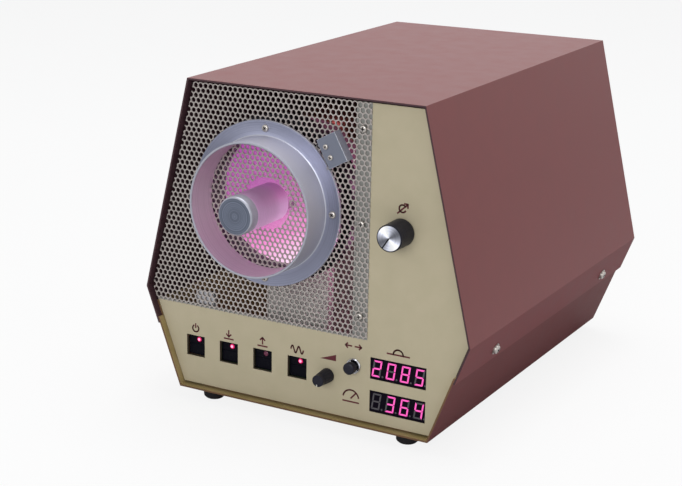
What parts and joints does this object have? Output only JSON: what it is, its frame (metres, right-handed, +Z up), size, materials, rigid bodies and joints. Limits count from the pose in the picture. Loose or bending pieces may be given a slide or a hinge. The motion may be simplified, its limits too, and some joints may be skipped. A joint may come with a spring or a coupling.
{
  "type": "plasma cleaner",
  "caption": "Bench-top plasma cleaner with a six-sided steel case, perforated screen, round pull-out chamber door, push keys, knobs and displays.",
  "frame": {"origin": "on the bench, under the middle of the whole outline from the handle's face to the end of the rear vacuum port", "axes": "+Z up, the front with the door and controls faces -Y, +X to the right seen from the front"},
  "size_m": [0.305, 0.437, 0.28],
  "materials": {
    "case_paint": "satin",
    "panel_paint": "satin",
    "screen_metal": "satin",
    "satin_aluminium": "turned",
    "sheet_aluminium": "milled",
    "steel": "zinc plated",
    "chrome": "polished",
    "brass": "plain",
    "copper": "plain copper",
    "glass": "clear",
    "black_rubber": "matte",
    "black_plastic": "fine satin",
    "grip_plastic": "frosted",
    "white_plastic": "plain",
    "seal_rubber": "silicone",
    "lamp_red": "lens",
    "display_black": "filter",
    "board_green": "solder mask",
    "winding": "tape",
    "clear_hose": "silicone hose",
    "screw_steel": "nickel plated"
  },
  "bodies": {
    "cabinet": {"cover": "case_paint", "chassis_tray": "case_paint", "front_panel": "panel_paint", "rf_screen": "screen_metal", "screen_bracket": "sheet_aluminium", "rear_panel": "panel_paint", "rubber_feet": "black_rubber", "cover_screws": "screw_steel", "small_screws": "screw_steel", "switch_screws": "screw_steel", "glass_barrel": "glass", "chamber_flange": "satin_aluminium", "chamber_oring": "seal_rubber", "upper_electrode": "copper", "lower_electrode": "copper", "chamber_saddles": "white_plastic", "rf_housing": "sheet_aluminium", "heat_sink": "satin_aluminium", "matching_coil": "copper", "capacitor_frame": "sheet_aluminium", "stator_plates": "sheet_aluminium", "toroidal_transformer": "winding", "control_board": "board_green", "display_modules": "display_black", "key_switch_bodies": "black_plastic", "key_leds": "lamp_red", "push_button_bush": "chrome", "level_pot": "steel", "vacuum_manifold": "sheet_aluminium", "solenoid_valves": "black_plastic", "gauge_tube": "steel", "vacuum_hoses": "clear_hose", "fan_frame": "black_plastic", "fan_guard": "chrome", "mains_inlet": "black_plastic", "vacuum_port": "steel", "gas_inlet": "brass", "interlock_bracket": "sheet_aluminium", "interlock_switch": "black_plastic"},
    "door": {"door_ring": "satin_aluminium", "door_mesh": "screen_metal", "door_screws": "screw_steel", "door_frame": "satin_aluminium", "door_glass": "glass", "handle_grip": "grip_plastic", "handle_cap": "satin_aluminium", "tray_carrier": "steel", "sample_tray": "glass", "guide_rods": "steel"},
    "power_key_body": {"power_key": "black_plastic"},
    "vacuum_key_body": {"vacuum_key": "black_plastic"},
    "vent_key_body": {"vent_key": "black_plastic"},
    "rf_key_body": {"rf_key": "black_plastic"},
    "push_button": {"push_button_cap": "black_plastic"},
    "level_control": {"level_knob": "black_plastic"},
    "tuning_rotor": {"tuning_knob": "black_plastic", "knob_inlay": "satin_aluminium", "capacitor_rotor": "brass"},
    "fan": {"fan_rotor": "black_plastic"},
    "interlock": {"interlock_lever": "brass"}
  },
  "joints": [
    {"name": "door_pull", "type": "slide", "parent": "cabinet", "child": "door", "axis": [0, -1, 0], "range_m": [0, 0.15]},
    {"name": "power_key_press", "type": "slide", "parent": "cabinet", "child": "power_key_body", "axis": [0, 1, 0], "range_m": [0, 0.002], "stiffness_N_per_m": 800, "springref_m": -0.001},
    {"name": "vacuum_key_press", "type": "slide", "parent": "cabinet", "child": "vacuum_key_body", "axis": [0, 1, 0], "range_m": [0, 0.002], "stiffness_N_per_m": 800, "springref_m": -0.001},
    {"name": "vent_key_press", "type": "slide", "parent": "cabinet", "child": "vent_key_body", "axis": [0, 1, 0], "range_m": [0, 0.002], "stiffness_N_per_m": 800, "springref_m": -0.001},
    {"name": "rf_key_press", "type": "slide", "parent": "cabinet", "child": "rf_key_body", "axis": [0, 1, 0], "range_m": [0, 0.002], "stiffness_N_per_m": 800, "springref_m": -0.001},
    {"name": "push_button_press", "type": "slide", "parent": "cabinet", "child": "push_button", "axis": [0, 1, 0], "range_m": [0, 0.002], "stiffness_N_per_m": 600, "springref_m": -0.001},
    {"name": "level_turn", "type": "hinge", "parent": "cabinet", "child": "level_control", "pos_m": [0.0242, -0.1685, 0.0468], "axis": [0, 1, 0], "range_deg": [0, 300]},
    {"name": "tuning_turn", "type": "hinge", "parent": "cabinet", "child": "tuning_rotor", "pos_m": [0.088, -0.1685, 0.1778], "axis": [0, 1, 0], "range_deg": [0, 180]},
    {"name": "fan_spin", "type": "hinge", "parent": "cabinet", "child": "fan", "pos_m": [0.068, 0.1705, 0.2], "axis": [0, 1, 0], "continuous": true},
    {"name": "interlock_swing", "type": "hinge", "parent": "cabinet", "child": "interlock", "pos_m": [0.01799, -0.1725, 0.23955], "axis": [0, 1, 0], "range_deg": [0, 8]}
  ],
  "couplings": [
    {"joint": "interlock_swing", "follows": "door_pull", "rad_per_m": 0.93}
  ]
}
